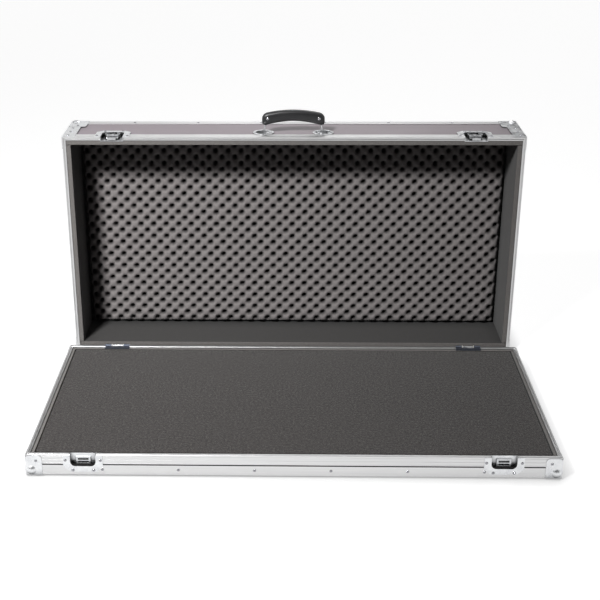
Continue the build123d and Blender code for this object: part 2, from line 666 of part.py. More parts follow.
def make_slide(name, along):
    """Slide of the latch: a yoke round the cam, and a clevis with the pin of the hook."""
    face = face_of(LID, "front", along)
    under = CAM_TOP + CAM_PLATE
    slot_top = -CAM_CENTRE + CAM_MIN + PLAY + NOSE_LENGTH
    slot_foot = -CAM_CENTRE - CAM_MAX - PLAY - NOSE_LENGTH
    slot_half = CAM_MAX + 2 * PLAY
    pin_at = slot_top + YOKE_BAR + JAW_KNUCKLE + PLAY
    lug = (YOKE_CLEVIS - HOOK_WIDTH) / 2 - PLAY
    with BuildPart() as slide:
        with BuildSketch(face.offset(-under)):
            with Locations((0, (slot_top + slot_foot) / 2)):
                RectangleRounded(2 * (slot_half + YOKE_BAR), slot_top - slot_foot + 2 * YOKE_BAR,
                                 YOKE_BAR)
                Rectangle(2 * slot_half, slot_top - slot_foot, mode=Mode.SUBTRACT)
            for tip, root in ((slot_top - NOSE_LENGTH, slot_top + PLAY),
                              (slot_foot + NOSE_LENGTH, slot_foot - PLAY)):
                with BuildLine():
                    Polyline((0, tip), (NOSE_HALF, root), (-NOSE_HALF, root), close=True)
                make_face()
        extrude(amount=CAM_PLATE)
        with BuildSketch(section_of(LID, "front", along)):
            with Locations((-under + JAW_KNUCKLE, pin_at)):
                Circle(JAW_KNUCKLE)
            with Locations((-under + JAW_KNUCKLE, pin_at - JAW_KNUCKLE)):
                Rectangle(2 * JAW_KNUCKLE, 2 * JAW_KNUCKLE)
        extrude(amount=YOKE_CLEVIS / 2, both=True)
        with BuildSketch(face.offset(-under)):
            with Locations((0, pin_at + JAW_KNUCKLE - PLAY)):
                Rectangle(YOKE_CLEVIS - 2 * lug, 2 * (2 * JAW_KNUCKLE))
        extrude(amount=3 * JAW_KNUCKLE, mode=Mode.SUBTRACT)
        with BuildSketch(section_of(LID, "front", along)):
            with Locations((-under + JAW_KNUCKLE, pin_at)):
                Circle(JAW_PIN)
        extrude(amount=YOKE_CLEVIS / 2, both=True)
    keep_part(slide.part, name)


def make_hook(name, along):
    """Hook of the latch: knuckle, cranked arm and a lip turned inward at its tip."""
    under = CAM_TOP + CAM_PLATE
    slot_top = -CAM_CENTRE + CAM_MIN + PLAY + NOSE_LENGTH
    pin_at = slot_top + YOKE_BAR + JAW_KNUCKLE + PLAY
    axis = -under + JAW_KNUCKLE
    outer = -HOOK_OUTER
    inner = outer - HOOK_PLATE
    low = axis - HOOK_PLATE / 2
    high = axis + HOOK_PLATE / 2
    bend = -CRANK_AT
    rise = outer - high
    with BuildPart() as hook:
        with BuildSketch(section_of(LID, "front", along)):
            with Locations((axis, pin_at)):
                Circle(JAW_KNUCKLE)
            with BuildLine():
                Polyline((low, pin_at), (high, pin_at), (high, bend - PLAY),
                         (outer, bend + rise), (outer, HOOK_REACH),
                         (inner - LIP_DEPTH, HOOK_REACH), (inner - LIP_DEPTH, HOOK_REACH - LIP),
                         (inner, HOOK_REACH - LIP), (inner, bend + rise - PLAY),
                         (low, bend - HOOK_PLATE), close=True)
            make_face()
            with Locations((axis, pin_at)):
                Circle(JAW_PIN + PIN_PLAY, mode=Mode.SUBTRACT)
        extrude(amount=HOOK_WIDTH / 2, both=True)
    keep_part(hook.part, name)


# ---------------------------------------------------------------- lift-off hinges
def hinge_axis():
    """Hinge axis in the section plane of a rear side."""
    return HINGE_OFFSET, SEAM_GAP / 2


def make_hinge(name, hand):
    """Lift-off hinge: base leaf over the rim with two ears, flatted pin, lid leaf with a mouth.

    The lid leaf's knuckle has a mouth as wide as the flats of the pin.  Mouth and flats line up
    only while the lid is fully open; then the lid draws straight off.
    """
    axis = hinge_axis()
    half = HINGE_WIDTH / 2
    base_at = section_of(BASE, "rear", -hand * LATCH_X)
    lid_at = section_of(LID, "rear", hand * LATCH_X)
    with BuildPart() as leaf:
        with BuildSketch(base_at):
            with BuildLine():
                Polyline((LEAF, -BASE_LEAF_DROP), (LEAF, -PLAY), (-SADDLE_REACH, -PLAY),
                         (-SADDLE_REACH, -HINGE_NOTCH), (0, -HINGE_NOTCH), (0, -BASE_LEAF_DROP),
                         close=True)
            make_face()
            with Locations(axis):
                Circle(KNUCKLE_RADIUS)
        extrude(amount=half, both=True)
        with BuildSketch(base_at):
            with Locations(axis):
                Circle(KNUCKLE_RADIUS + PLAY)
            with Locations((axis[0] + KNUCKLE_RADIUS, 0)):
                Rectangle(2 * (2 * KNUCKLE_RADIUS + PLAY), 2 * LEAF_CUT)
        extrude(amount=EAR_IN, both=True, mode=Mode.SUBTRACT)
        with BuildSketch(base_at):
            with Locations(axis):
                Circle(PIN_RADIUS)
        extrude(amount=half, both=True, mode=Mode.SUBTRACT)
    keep_part(leaf.part, f"hinge_base_leaf_{name}")

    mouth_turn = 90 + LIFT_ANGLE
    mouth_reach = 2 * KNUCKLE_RADIUS
    mouth_mid = (axis[0] + mouth_reach / 2 * cos(radians(mouth_turn)),
                 axis[1] + mouth_reach / 2 * sin(radians(mouth_turn)))
    central = KNUCKLE_WIDTH / 2
    with BuildPart() as lid_leaf:
        with BuildSketch(lid_at):
            with Locations((LEAF / 2, -(LID_LEAF_DROP + HINGE_NOTCH + PLAY) / 2)):
                Rectangle(LEAF, LID_LEAF_DROP - HINGE_NOTCH - PLAY)
        extrude(amount=half, both=True)
        with BuildSketch(lid_at):
            with BuildLine():
                Polyline((LEAF, -HINGE_NOTCH - LEAF), (LEAF, -PLAY), (-RIM, -PLAY),
                         (-RIM, -HINGE_NOTCH), (0, -HINGE_NOTCH), (0, -HINGE_NOTCH - LEAF),
                         close=True)
            make_face()
            with Locations(axis):
                Circle(KNUCKLE_RADIUS)
        extrude(amount=central, both=True)
        with BuildSketch(lid_at):
            with Locations(axis):
                Circle(PIN_RADIUS + PIN_PLAY)
            with Locations(mouth_mid):
                Rectangle(mouth_reach, PIN_FLATS + 2 * MOUTH_PLAY, rotation=mouth_turn)
        extrude(amount=central, both=True, mode=Mode.SUBTRACT)
    keep_part(lid_leaf.part, f"hinge_lid_leaf_{name}")


def make_hinge_pins():
    """Pins riveted in the ears of the base leaves, with two flats under the lid's knuckle."""
    axis = hinge_axis()
    flat_half = KNUCKLE_WIDTH / 2 + PLAY / 2
    with BuildPart() as pins:
        for along in (-LATCH_X, LATCH_X):
            with BuildSketch(section_of(BASE, "rear", along)):
                with Locations(axis):
                    Circle(PIN_RADIUS)
            extrude(amount=HINGE_WIDTH / 2, both=True)
            with BuildSketch(section_of(BASE, "rear", along)):
                with Locations(axis):
                    Circle(2 * PIN_RADIUS)
                    Rectangle(5 * PIN_RADIUS, PIN_FLATS, rotation=-LIFT_ANGLE, mode=Mode.SUBTRACT)
            extrude(amount=flat_half, both=True, mode=Mode.SUBTRACT)
    keep_part(pins.part, "hinge_pins")


def make_washers():
    """Nylon washers on the hinge pins, one on each side of both knuckles."""
    axis = hinge_axis()
    start = KNUCKLE_WIDTH / 2 + PLAY
    with BuildPart() as washers:
        for hinge in (-LATCH_X, LATCH_X):
            for end in (start, -start - WASHER):
                with BuildSketch(section_of(BASE, "rear", hinge + end)):
                    with Locations(axis):
                        Circle(KNUCKLE_RADIUS)
                        Circle(PIN_RADIUS + PIN_PLAY, mode=Mode.SUBTRACT)
                extrude(amount=-WASHER)
    keep_part(washers.part, "hinge_washers")


# ---------------------------------------------------------------- carrying handle
def make_cups():
    """Round cups let into the lid's front wall, each with a bearing lug for a handle wire."""
    lug_round = HANDLE_BAR + LUG
    face = face_of(LID, "front")
    with BuildPart() as cups:
        for along in cup_places():
            with BuildSketch(face):
                with Locations((along, -HANDLE_INSET)):
                    Circle(CUP_RADIUS)
            extrude(amount=PLATE)
            with BuildSketch(face.offset(-CUP_DEPTH)):
                with Locations((along, -HANDLE_INSET)):
                    Circle(CUP_MOUTH + PLATE - CUP_ROUND)
            extrude(amount=CUP_ROUND, taper=-45)
            with BuildSketch(face):
                with Locations((along, -HANDLE_INSET)):
                    Circle(CUP_MOUTH + PLATE)
            extrude(amount=-CUP_DEPTH + CUP_ROUND)
            with BuildSketch(face.offset(-CUP_DEPTH + PLATE)):
                with Locations((along, -HANDLE_INSET)):
                    Circle(CUP_MOUTH - CUP_ROUND)
            extrude(amount=CUP_ROUND, taper=-45, mode=Mode.SUBTRACT)
            with BuildSketch(face.offset(PLATE)):
                with Locations((along, -HANDLE_INSET)):
                    Circle(CUP_MOUTH)
            extrude(amount=-CUP_DEPTH + CUP_ROUND, mode=Mode.SUBTRACT)
            inward = -1 if along > 0 else 1
            lug_at = along + inward * (WIRE_STUB - WIRE_LUG / 2 - 2 * PLAY)
            with BuildSketch(section_of(LID, "front", lug_at)):
                with Locations((-HANDLE_AXIS, -HANDLE_INSET)):
                    Circle(lug_round)
                with Locations(((-HANDLE_AXIS - CUP_DEPTH + PLATE) / 2, -HANDLE_INSET)):
                    Rectangle(CUP_DEPTH - PLATE - HANDLE_AXIS, 2 * lug_round)
                with Locations((-HANDLE_AXIS, -HANDLE_INSET)):
                    Circle(HANDLE_BAR + PIN_PLAY, mode=Mode.SUBTRACT)
            extrude(amount=WIRE_LUG / 2, both=True)
    keep_part(cups.part, "handle_cups")


def handle_plane():
    """Plane of the upright handle: +X to the right, +Y out of the lid's front wall."""
    return level_of(LID, "front", 0, HANDLE_INSET)


def make_handle():
    """Arched grip, and the two bent wires that carry it in the cups."""
    plane = handle_plane()
    half = GRIP_LENGTH / 2
    with BuildPart() as wires:
        for hand in (1, -1):
            foot = hand * HANDLE_SPREAD / 2
            with BuildLine(plane) as path:
                FilletPolyline((foot - hand * WIRE_STUB, -HANDLE_AXIS), (foot, -HANDLE_AXIS),
                               (hand * WIRE_AT_GRIP, GRIP_UNDER_END + WIRE_INTO_GRIP),
                               radius=HANDLE_BEND)
            with BuildSketch(Plane(path.line @ 0, z_dir=path.line % 0)):
                Circle(HANDLE_BAR)
            sweep(path=path.line)
    keep_part(wires.part, "handle_wires")

    with BuildPart() as grip:
        with BuildSketch(plane):
            with BuildLine():
                ThreePointArc((-half, GRIP_TOP_END), (0, GRIP_TOP_MID), (half, GRIP_TOP_END))
                Line((half, GRIP_TOP_END), (half, GRIP_UNDER_END))
                ThreePointArc((half, GRIP_UNDER_END), (0, GRIP_UNDER_MID), (-half, GRIP_UNDER_END))
                Line((-half, GRIP_UNDER_END), (-half, GRIP_TOP_END))
            outline = make_face()
            fillet(outline.vertices(), GRIP_END_ROUND)
        extrude(amount=GRIP_WIDE / 2, both=True)
        fillet(grip.edges(), GRIP_ROUND)
        for hand in (1, -1):
            with BuildLine(plane) as bore:
                Line((hand * HANDLE_SPREAD / 2, -HANDLE_AXIS),
                     (hand * WIRE_AT_GRIP, GRIP_UNDER_END + WIRE_INTO_GRIP))
            with BuildSketch(Plane(bore.line @ 1, z_dir=bore.line % 1)):
                Circle(HANDLE_BAR + PIN_PLAY / 2)
            extrude(amount=-(GRIP_UNDER_END + WIRE_INTO_GRIP), mode=Mode.SUBTRACT)
    keep_part(grip.part, "handle_grip")


# ---------------------------------------------------------------- the whole case
make_panels(BASE, "base", "floor")
make_rims(BASE, "base")
make_edge_angles(BASE, "base")
make_ball_corners(BASE, "base")
make_deck()
make_lining(BASE, "base", BASE_LINING)

make_panels(LID, "lid", "top")
make_rims(LID, "lid")
make_edge_angles(LID, "lid")
make_ball_corners(LID, "lid")
make_corner_angles()
make_corner_braces()
make_lining(LID, "lid", LID_LINING)
make_egg_crate()

for place, hand in (("left", -1), ("right", 1)):
    on_base = hand * LATCH_X
    on_lid = -hand * LATCH_X
    make_dish(BASE, f"base_latch_dish_{place}", on_base, BASE_DISH_LENGTH)
    make_dish(LID, f"lid_latch_dish_{place}", on_lid, LID_DISH_LENGTH)
    make_cam(f"latch_cam_{place}", on_lid)
    make_wing(f"latch_wing_{place}_a", on_lid, 1)
    make_wing(f"latch_wing_{place}_b", on_lid, -1)
    make_slide(f"latch_slide_{place}", on_lid)
    make_hook(f"latch_hook_{place}", on_lid)
    make_hinge(place, hand)
make_keepers()
make_hinge_pins()
make_washers()
make_cups()
make_handle()
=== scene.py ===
"""Looks of a flight case for guitar pedals: shallow base, and the lid stood up behind it."""
import math

import bmesh
import bpy
from mathutils import Matrix, Vector


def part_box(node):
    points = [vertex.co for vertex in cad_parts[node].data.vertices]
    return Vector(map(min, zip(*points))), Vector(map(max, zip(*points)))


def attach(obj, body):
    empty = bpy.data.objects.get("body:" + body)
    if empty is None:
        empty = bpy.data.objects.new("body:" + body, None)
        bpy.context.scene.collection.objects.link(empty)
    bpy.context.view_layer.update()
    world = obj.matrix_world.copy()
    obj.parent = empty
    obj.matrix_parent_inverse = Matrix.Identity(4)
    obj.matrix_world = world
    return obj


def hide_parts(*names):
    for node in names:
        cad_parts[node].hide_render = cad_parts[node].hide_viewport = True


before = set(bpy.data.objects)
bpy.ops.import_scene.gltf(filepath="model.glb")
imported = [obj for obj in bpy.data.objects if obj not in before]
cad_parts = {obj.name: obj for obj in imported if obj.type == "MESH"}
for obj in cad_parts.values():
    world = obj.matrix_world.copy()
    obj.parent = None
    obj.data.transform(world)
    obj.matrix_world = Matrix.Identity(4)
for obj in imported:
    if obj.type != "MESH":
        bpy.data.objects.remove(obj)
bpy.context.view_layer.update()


# Walls, floor and top. Birch plywood faced outside with a thin purple-grey phenolic
# laminate, pressed with a fine grain. The edges are let into the extrusions. The base's walls
# are drawn near black instead, as painted shade of the narrow recessed strip that shows
# between the base's two extrusions.
def finish(name, colour, metallic, roughness):
    """A material with one shader, its colour and gloss set on the shader itself."""
    material = bpy.data.materials.new(name)
    material.use_nodes = True
    shader = material.node_tree.nodes["Principled BSDF"]
    shader.inputs["Base Color"].default_value = (*colour, 1)
    shader.inputs["Metallic"].default_value = metallic
    shader.inputs["Roughness"].default_value = roughness
    return material, material.node_tree, shader


def grain(tree, stretch, detail=4.0, roughness=0.6):
    """Noise laid out by Object coordinates; stretch is how often it changes per metre."""
    place = tree.nodes.new("ShaderNodeTexCoord")
    mapping = tree.nodes.new("ShaderNodeMapping")
    mapping.inputs["Scale"].default_value = stretch
    noise = tree.nodes.new("ShaderNodeTexNoise")
    noise.inputs["Scale"].default_value = 1.0
    noise.inputs["Detail"].default_value = detail
    noise.inputs["Roughness"].default_value = roughness
    tree.links.new(place.outputs["Object"], mapping.inputs["Vector"])
    tree.links.new(mapping.outputs["Vector"], noise.inputs["Vector"])
    return noise.outputs["Fac"]


def ramp(tree, factor, stops):
    """A colour from grey or coloured stops, each at its place along a factor."""
    node = tree.nodes.new("ShaderNodeValToRGB")
    tree.links.new(factor, node.inputs["Fac"])
    band = node.color_ramp
    while len(band.elements) < len(stops):
        band.elements.new(0.5)
    for element, (at, colour) in zip(band.elements, stops):
        element.position = at
        element.color = (*colour, 1) if len(colour) == 3 else (colour[0],) * 3 + (1,)
    return node.outputs["Color"]


def tint(tree, shader, factor, stops, socket="Base Color"):
    """Drives one socket of a shader by stops over a factor."""
    tree.links.new(ramp(tree, factor, stops), shader.inputs[socket])


def relief(tree, shader, height, depth, strength):
    """Bump of the given depth in metres."""
    bump = tree.nodes.new("ShaderNodeBump")
    bump.inputs["Distance"].default_value = depth
    bump.inputs["Strength"].default_value = strength
    tree.links.new(height, bump.inputs["Height"])
    tree.links.new(bump.outputs["Normal"], shader.inputs["Normal"])


def dress(material, *nodes):
    """Gives CAD nodes their finish."""
    for node in nodes:
        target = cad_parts[node]
        target.data.materials.clear()
        target.data.materials.append(material)


def painted_shade_in_nooks(tree, colour, reach, depth):
    """Painted shade: darkens a colour where an ambient occlusion node finds the surface running
    into a corner or a narrow joint.
    """
    nook = tree.nodes.new("ShaderNodeAmbientOcclusion")
    nook.inputs["Distance"].default_value = reach
    shade = tree.nodes.new("ShaderNodeMapRange")
    shade.inputs["From Min"].default_value = 0.25           # a deep nook
    shade.inputs["From Max"].default_value = 0.9            # nearly open
    shade.inputs["To Min"].default_value = depth
    tree.links.new(nook.outputs["AO"], shade.inputs["Value"])
    mix = tree.nodes.new("ShaderNodeVectorMath")
    mix.operation = "SCALE"
    tree.links.new(colour, mix.inputs[0])
    tree.links.new(shade.outputs["Result"], mix.inputs["Scale"])
    return mix.outputs["Vector"]


laminate, tree, shader = finish("purple_grey_laminate", (0.28, 0.24, 0.26), 0.0, 0.5)
cloud = ramp(tree, grain(tree, (9, 9, 9), 3.0),
             [(0.3, (0.275, 0.236, 0.258)), (0.7, (0.305, 0.264, 0.287))])
# painted shade: the laminate's colour darkens in corners and narrow joints
tree.links.new(painted_shade_in_nooks(tree, cloud, 0.006, 0.08), shader.inputs["Base Color"])
shader.inputs["Specular IOR Level"].default_value = 0.3
relief(tree, shader, grain(tree, (900, 900, 900), 3.0), 0.00012, 0.6)
SIDES = ("front", "rear", "left", "right")
dress(laminate, "base_floor", "lid_top", *[f"lid_{s}_wall" for s in SIDES])

# Painted shade: near black, standing in for the shade in the recessed strip between the base's
# extrusions.
shade_film, tree, shader = finish("painted_shade_film", (0.012, 0.011, 0.011), 0.0, 0.6)
tint(tree, shader, grain(tree, (200, 200, 200), 3.0),
     [(0.3, (0.009, 0.008, 0.008)), (0.7, (0.016, 0.015, 0.015))])
shader.inputs["Specular IOR Level"].default_value = 0.2
dress(shade_film, *[f"base_{s}_wall" for s in SIDES])


# Deck and battens. A loose birch plywood deck rests on four battens on the base's floor and
# carries the carpet; its sawn edges show the plies.
birch, tree, shader = finish("birch_ply", (0.58, 0.44, 0.29), 0.0, 0.62)
tint(tree, shader, grain(tree, (14, 160, 900), 5.0),
     [(0.3, (0.47, 0.33, 0.20)), (0.7, (0.66, 0.51, 0.35))])
relief(tree, shader, grain(tree, (30, 300, 900), 4.0), 0.0001, 0.4)
dress(birch, "pedal_deck", "deck_battens")


# Extrusions. Satin anodised aluminium, drawn with fine lines along their length: reeded rims
# that close on each other with tongue and groove, and plain angles round the closing panels.
def extrusion(name, stretch):
    """Drawn aluminium with its lines along the long direction of the piece."""
    material, tree, shader = finish(name, (0.70, 0.70, 0.70), 1.0, 0.34)
    lines = grain(tree, stretch, 5.0, 0.7)
    tint(tree, shader, lines, [(0.3, (0.64, 0.64, 0.645)), (0.7, (0.77, 0.77, 0.77))])
    tint(tree, shader, lines, [(0.3, (0.28,)), (0.7, (0.42,))], "Roughness")
    relief(tree, shader, lines, 0.00004, 0.5)
    return material


TRAYS = ("base", "lid")
ENDS = ("left", "right")
LINE, ACROSS = 5, 1500                      # changes per metre along a line and across it
along_x = extrusion("aluminium_drawn_across", (LINE, ACROSS, ACROSS))
along_y = extrusion("aluminium_drawn_deep", (ACROSS, LINE, ACROSS))
along_z = extrusion("aluminium_drawn_upright", (ACROSS, ACROSS, LINE))
for part in ("rim", "edge_angle"):
    dress(along_x, *[f"{tray}_{s}_{part}" for tray in TRAYS for s in ("front", "rear")])
    dress(along_y, *[f"base_{s}_{part}" for s in ENDS])
    dress(along_z, *[f"lid_{s}_{part}" for s in ENDS])
dress(along_y, "lid_corner_angles")


# Plated fittings. Ball corners, corner braces, latch dishes and handle cups are pressed from
# steel sheet and bright plated; tumbling leaves them a little uneven.
plated, tree, shader = finish("bright_plating", (0.70, 0.71, 0.73), 1.0, 0.22)
patches = grain(tree, (60, 60, 60), 4.0)
cloudy = ramp(tree, patches, [(0.35, (0.68, 0.69, 0.71)), (0.65, (0.84, 0.85, 0.86))])
# painted shade: the plating's colour darkens inside cups, dishes and corners
tree.links.new(painted_shade_in_nooks(tree, cloudy, 0.020, 0.03), shader.inputs["Base Color"])
tint(tree, shader, patches, [(0.3, (0.22,)), (0.7, (0.38,))], "Roughness")
relief(tree, shader, grain(tree, (140, 140, 140), 2.0), 0.0003, 0.35)
dress(plated, "base_ball_corners", "lid_ball_corners", "lid_corner_braces", "handle_cups",
      *[f"{tray}_latch_dish_{s}" for tray in TRAYS for s in ENDS])


# Latches. Cam, folding wings, yoke slide and hook are zinc plated steel, blanked and tumbled;
# the keepers in the base and the bent wires of the handle are the same.
zinc, tree, shader = finish("zinc_plating", (0.60, 0.61, 0.62), 1.0, 0.30)
rub = grain(tree, (220, 220, 220), 5.0)
rubbed = ramp(tree, rub, [(0.3, (0.50, 0.51, 0.53)), (0.7, (0.70, 0.71, 0.72))])
# painted shade: the zinc's colour darkens in corners and narrow joints
tree.links.new(painted_shade_in_nooks(tree, rubbed, 0.012, 0.05), shader.inputs["Base Color"])
tint(tree, shader, rub, [(0.3, (0.22,)), (0.7, (0.38,))], "Roughness")
relief(tree, shader, rub, 0.0001, 0.3)
dress(zinc, "latch_keepers", "handle_wires",
      *[f"latch_{piece}_{s}" for piece in ("cam", "slide", "hook") for s in ENDS],
      *[f"latch_wing_{s}_{wing}" for s in ENDS for wing in ("a", "b")])


# Hinges. Lift-off leaves of dark blue-grey passivated steel on turned steel pins, with washers
# of natural nylon on the pins.
passivated, tree, shader = finish("dark_passivated_steel", (0.09, 0.10, 0.13), 0.7, 0.40)
tint(tree, shader, grain(tree, (120, 120, 120), 4.0),
     [(0.3, (0.065, 0.074, 0.098)), (0.7, (0.115, 0.127, 0.158))])
relief(tree, shader, grain(tree, (700, 700, 700), 2.0), 0.00006, 0.4)
dress(passivated, *[f"hinge_{tray}_leaf_{s}" for tray in TRAYS for s in ENDS])
dress(zinc, "hinge_pins")

nylon, tree, shader = finish("natural_nylon", (0.80, 0.78, 0.70), 0.0, 0.45)
relief(tree, shader, grain(tree, (900, 900, 900), 2.0), 0.00005, 0.4)
tint(tree, shader, grain(tree, (300, 300, 300), 2.0),
     [(0.3, (0.76, 0.74, 0.66)), (0.7, (0.84, 0.82, 0.74))])
dress(nylon, "hinge_washers")


# Carrying handle. A moulded black grip, round in section, slightly pebbled and arched for the
# hand, on two bent steel wires that turn on pins through its ends.
def piece_of(name, shape, material, smooth=False):
    """Turns a finished bmesh into an object with one material."""
    mesh = bpy.data.meshes.new(name)
    shape.to_mesh(mesh)
    shape.free()
    if smooth:
        mesh.polygons.foreach_set("use_smooth", [True] * len(mesh.polygons))
    mesh.materials.append(material)
    made = bpy.data.objects.new(name, mesh)
    bpy.context.collection.objects.link(made)
    return made


grip_black, tree, shader = finish("black_moulding", (0.010, 0.010, 0.011), 0.0, 0.36)
pebbles = tree.nodes.new("ShaderNodeTexVoronoi")
place = tree.nodes.new("ShaderNodeTexCoord")
pebbles.inputs["Scale"].default_value = 700.0
tree.links.new(place.outputs["Object"], pebbles.inputs["Vector"])
relief(tree, shader, pebbles.outputs["Distance"], 0.00010, 0.5)
tint(tree, shader, grain(tree, (80, 80, 80), 3.0),
     [(0.3, (0.007, 0.007, 0.008)), (0.7, (0.014, 0.014, 0.015))])

WALL_FACE = 0.555                           # the face of the lid that the grip stands over
UNDERSIDE, UNDER_ARCH = 0.0155, 0.0135      # height over it at the ends, and the arch's rise
CREST, CREST_ARCH = 0.046, 0.0098
END_ROUND = 0.013                           # length over which an end closes
SECTIONS = 48
low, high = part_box("handle_grip")
grip_front, grip_y = low.y, (high.y + low.y) / 2
reach, depth = (high.x - low.x) / 2, (high.y - low.y) / 2
grip = bmesh.new()
last = []
for step in range(SECTIONS + 1):
    along = math.sin((step / SECTIONS - 0.5) * math.pi)     # closer together towards the ends
    x = along * (reach - 0.0002)
    arch = 1 - along * along
    under, top = WALL_FACE + UNDERSIDE + UNDER_ARCH * arch, WALL_FACE + CREST + CREST_ARCH * arch
    inward = min(1.0, (reach - abs(x)) / END_ROUND)
    taper = math.sqrt(max(0.0004, 1 - (1 - inward) ** 2))
    centre, tall = (under + top) / 2, (top - under) / 2 * (0.30 + 0.70 * taper)
    wide = depth * (0.45 + 0.55 * taper)
    ring = bmesh.ops.create_circle(grip, segments=28, radius=1,
                                   cap_ends=step in (0, SECTIONS))["verts"]
    for v in ring:                                          # a round section, a little squared
        across, upward = v.co.x, v.co.y
        v.co = (x, grip_y + wide * math.copysign(abs(across) ** 0.75, across),
                centre + tall * math.copysign(abs(upward) ** 0.72, upward))
    edges = list({e for v in ring for e in v.link_edges})
    if last:
        bmesh.ops.bridge_loops(grip, edges=last + edges)
    last = edges
bmesh.ops.recalc_face_normals(grip, faces=grip.faces)
moulded = piece_of("moulded_grip", grip, grip_black, smooth=True)
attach(moulded, "handle")
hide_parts("handle_grip")


# Rivets. Steel rivets with low domed heads hold the fittings, the hinges and the angles; each
# head has the dimple of a semi-tubular shank.
RIVET = 0.0034                              # radius of a head
rivet_steel, tree, shader = finish("rivet_steel", (0.62, 0.62, 0.64), 1.0, 0.16)
tint(tree, shader, grain(tree, (500, 500, 500), 3.0),
     [(0.3, (0.30, 0.30, 0.32)), (0.7, (0.42, 0.42, 0.44))])
relief(tree, shader, grain(tree, (900, 900, 900), 2.0), 0.00004, 0.3)


def domed_head(radius, height):
    """One head with a dimple, spun from its profile, with its foot on z = 0."""
    shape = bmesh.new()
    profile = [(0.0, 0.62), (0.2, 0.64), (0.34, 1.0), (0.62, 0.9), (0.88, 0.55), (1.0, 0.0)]
    rim = [shape.verts.new((radius * r, 0, height * h)) for r, h in profile]
    edges = [shape.edges.new(pair) for pair in zip(rim, rim[1:])]
    bmesh.ops.spin(shape, geom=rim + edges, axis=(0, 0, 1), cent=(0, 0, 0), steps=12,
                   angle=math.tau, use_merge=True)
    bmesh.ops.remove_doubles(shape, verts=shape.verts, dist=1e-6)
    bmesh.ops.holes_fill(shape, edges=[e for e in shape.edges if e.is_boundary])
    bmesh.ops.recalc_face_normals(shape, faces=shape.faces)
    mesh = bpy.data.meshes.new("domed_head")
    shape.to_mesh(mesh)
    shape.free()
    return mesh


head = domed_head(RIVET, RIVET * 0.42)


def rivets(name, body, places, shape=head):
    """One object with a head at each (node, point, outward), set down on the node's surface:
    a ray that starts 30 mm outside it finds the surface, and the head's foot sinks in a little."""
    bpy.context.view_layer.update()
    group = bmesh.new()
    for node, point, outward in places:
        target, out = bpy.data.objects[node], Vector(outward)
        back = target.matrix_world.inverted()
        found, hit, _, _ = target.ray_cast(back @ (Vector(point) + out * 0.03),
                                           (back.to_3x3() @ -out).normalized(), distance=0.05)
        if not found:
            raise ValueError(f"no surface of {node} under {tuple(point)}")
        before = len(group.verts)
        group.from_mesh(shape)
        group.verts.ensure_lookup_table()
        turn = out.to_track_quat("Z", "Y").to_matrix().to_4x4()
        sunk = target.matrix_world @ hit - out * 0.00015
        bmesh.ops.transform(group, matrix=Matrix.Translation(sunk) @ turn,
                            verts=group.verts[before:])
    piece = piece_of(name, group, rivet_steel, smooth=True)
    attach(piece, body)


def dish_holes(far):
    """Across and in from the rim: two holes at the far edge of a dish, two beside its mouth."""
    return [(sign * across, deep) for across, deep in ((0.0214, far), (0.0364, 0.012))
            for sign in (-1, 1)]


HALF_WIDTH, LATCH = 0.55, 0.432             # outer face of an end; middle of a latch and hinge
RIM_LEG = 0.0215                            # height of the base's rims
BASE_LINE = 0.0166                          # rivet line of the base's angles over the floor
FOOT_LINE = 0.0206                          # from an outer face to the holes of a ball corner
BALL_HOLE, HINGE_HOLE = 0.037, 0.040        # heights over the floor
BOTH_ENDS = ((-1, "left"), (1, "right"))
front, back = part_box("base_front_edge_angle")[0].y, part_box("base_rear_edge_angle")[1].y
base_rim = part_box("base_left_rim")[0].z + RIM_LEG
row = [HALF_WIDTH * sevenths / 7 for sevenths in (-5, -3, -1, 1, 3, 5)]
angles = [("base_front_edge_angle", (x, front, BASE_LINE), (0, -1, 0)) for x in row]
angles += [("base_rear_edge_angle", (x, back, BASE_LINE), (0, 1, 0)) for x in row]
for sx, side in BOTH_ENDS:
    angles += [(f"base_{side}_edge_angle",
                (sx * HALF_WIDTH, front + (back - front) * sixths / 6, BASE_LINE), (sx, 0, 0))
               for sixths in (1.25, 3, 4.75)]
rivets("base_angle_rivets", "base", angles)
corners = []
for sx in (-1, 1):
    for y, out in ((front, -1), (back, 1)):
        for point, away in (((sx * (HALF_WIDTH - FOOT_LINE), y, BALL_HOLE), (0, out, 0)),
                            ((sx * HALF_WIDTH, y - out * FOOT_LINE, BALL_HOLE), (sx, 0, 0))):
            corners.append(("base_ball_corners", point, away))
rivets("base_corner_rivets", "base", corners)
for sx, side in BOTH_ENDS:
    rivets(f"base_latch_rivets_{side}", "base",
           [(f"base_latch_dish_{side}", (sx * LATCH + dx, front, base_rim - down), (0, -1, 0))
            for dx, down in dish_holes(0.0348)])
    rivets(f"base_hinge_rivets_{side}", "base",
           [(f"hinge_base_leaf_{side}", (sx * LATCH + dx, back, HINGE_HOLE), (0, 1, 0))
            for dx in (-0.022, 0.022)])

LEG_LINE = 0.0125                           # rivet line in the middle of the lid's 25 mm legs
SIDE_ROWS = (0.14, 0.28, 0.42)              # heights of the rivets up the ends of the lid
BRACE_ROWS, BALL_ROW = (0.2515, 0.287, 0.3225), 0.349   # how far back the corners' holes lie
lid_face, lid_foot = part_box("lid_front_edge_angle")[1].z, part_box("lid_rear_edge_angle")[0].z
lid_back, lid_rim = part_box("lid_front_edge_angle")[1].y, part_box("lid_left_rim")[0].y
for sx, side in BOTH_ENDS:
    rivets(f"lid_latch_rivets_{side}", "lid",
           [(f"lid_latch_dish_{side}", (sx * LATCH + dx, lid_rim + deep, lid_face), (0, 0, 1))
            for dx, deep in dish_holes(0.0538)])
angles = []
for x in row:
    angles.append(("lid_front_edge_angle", (x, lid_back, lid_face - LEG_LINE), (0, 1, 0)))
    angles.append(("lid_front_edge_angle", (x, lid_back - LEG_LINE, lid_face), (0, 0, 1)))
    angles.append(("lid_rear_edge_angle", (x, lid_back, lid_foot + LEG_LINE), (0, 1, 0)))
